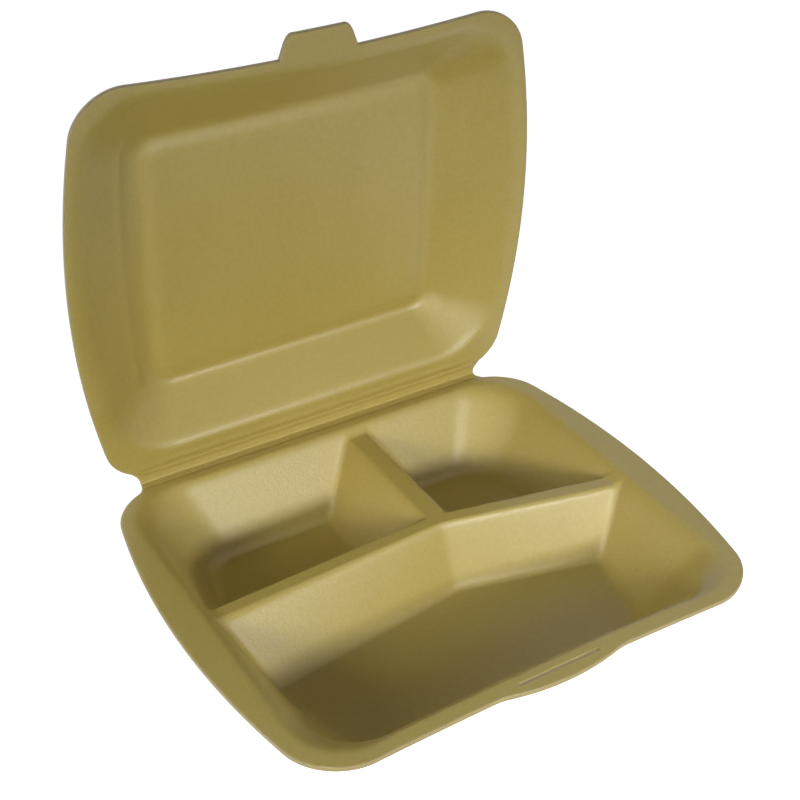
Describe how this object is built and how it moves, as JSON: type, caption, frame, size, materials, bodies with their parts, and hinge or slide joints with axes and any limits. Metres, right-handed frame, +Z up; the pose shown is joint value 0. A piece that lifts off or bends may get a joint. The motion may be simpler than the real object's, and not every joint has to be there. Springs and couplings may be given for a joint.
{
  "type": "foam clamshell container",
  "caption": "Open foam take-away box: a rimmed tray with hollow dividers between its compartments and a shallow hinged lid that closes with a tab in a slotted lip.",
  "frame": {"origin": "middle of the underside of the front compartment, on the plane that the box rests on", "axes": "+X along the hinge to the right seen from the front, +Y from the latch to the hinge, +Z up"},
  "size_m": [0.2396, 0.2256, 0.2399],
  "materials": {
    "foam": "gold foam sheet with a soft pearl sheen"
  },
  "bodies": {
    "tray_body": {"base_tray": "foam"},
    "lid_body": {"lid": "foam"}
  },
  "joints": [
    {"name": "lid_hinge", "type": "hinge", "parent": "tray_body", "child": "lid_body", "pos_m": [0, 0.15325, 0.0372], "axis": [-1, 0, 0], "range_deg": [-87, 93]}
  ]
}
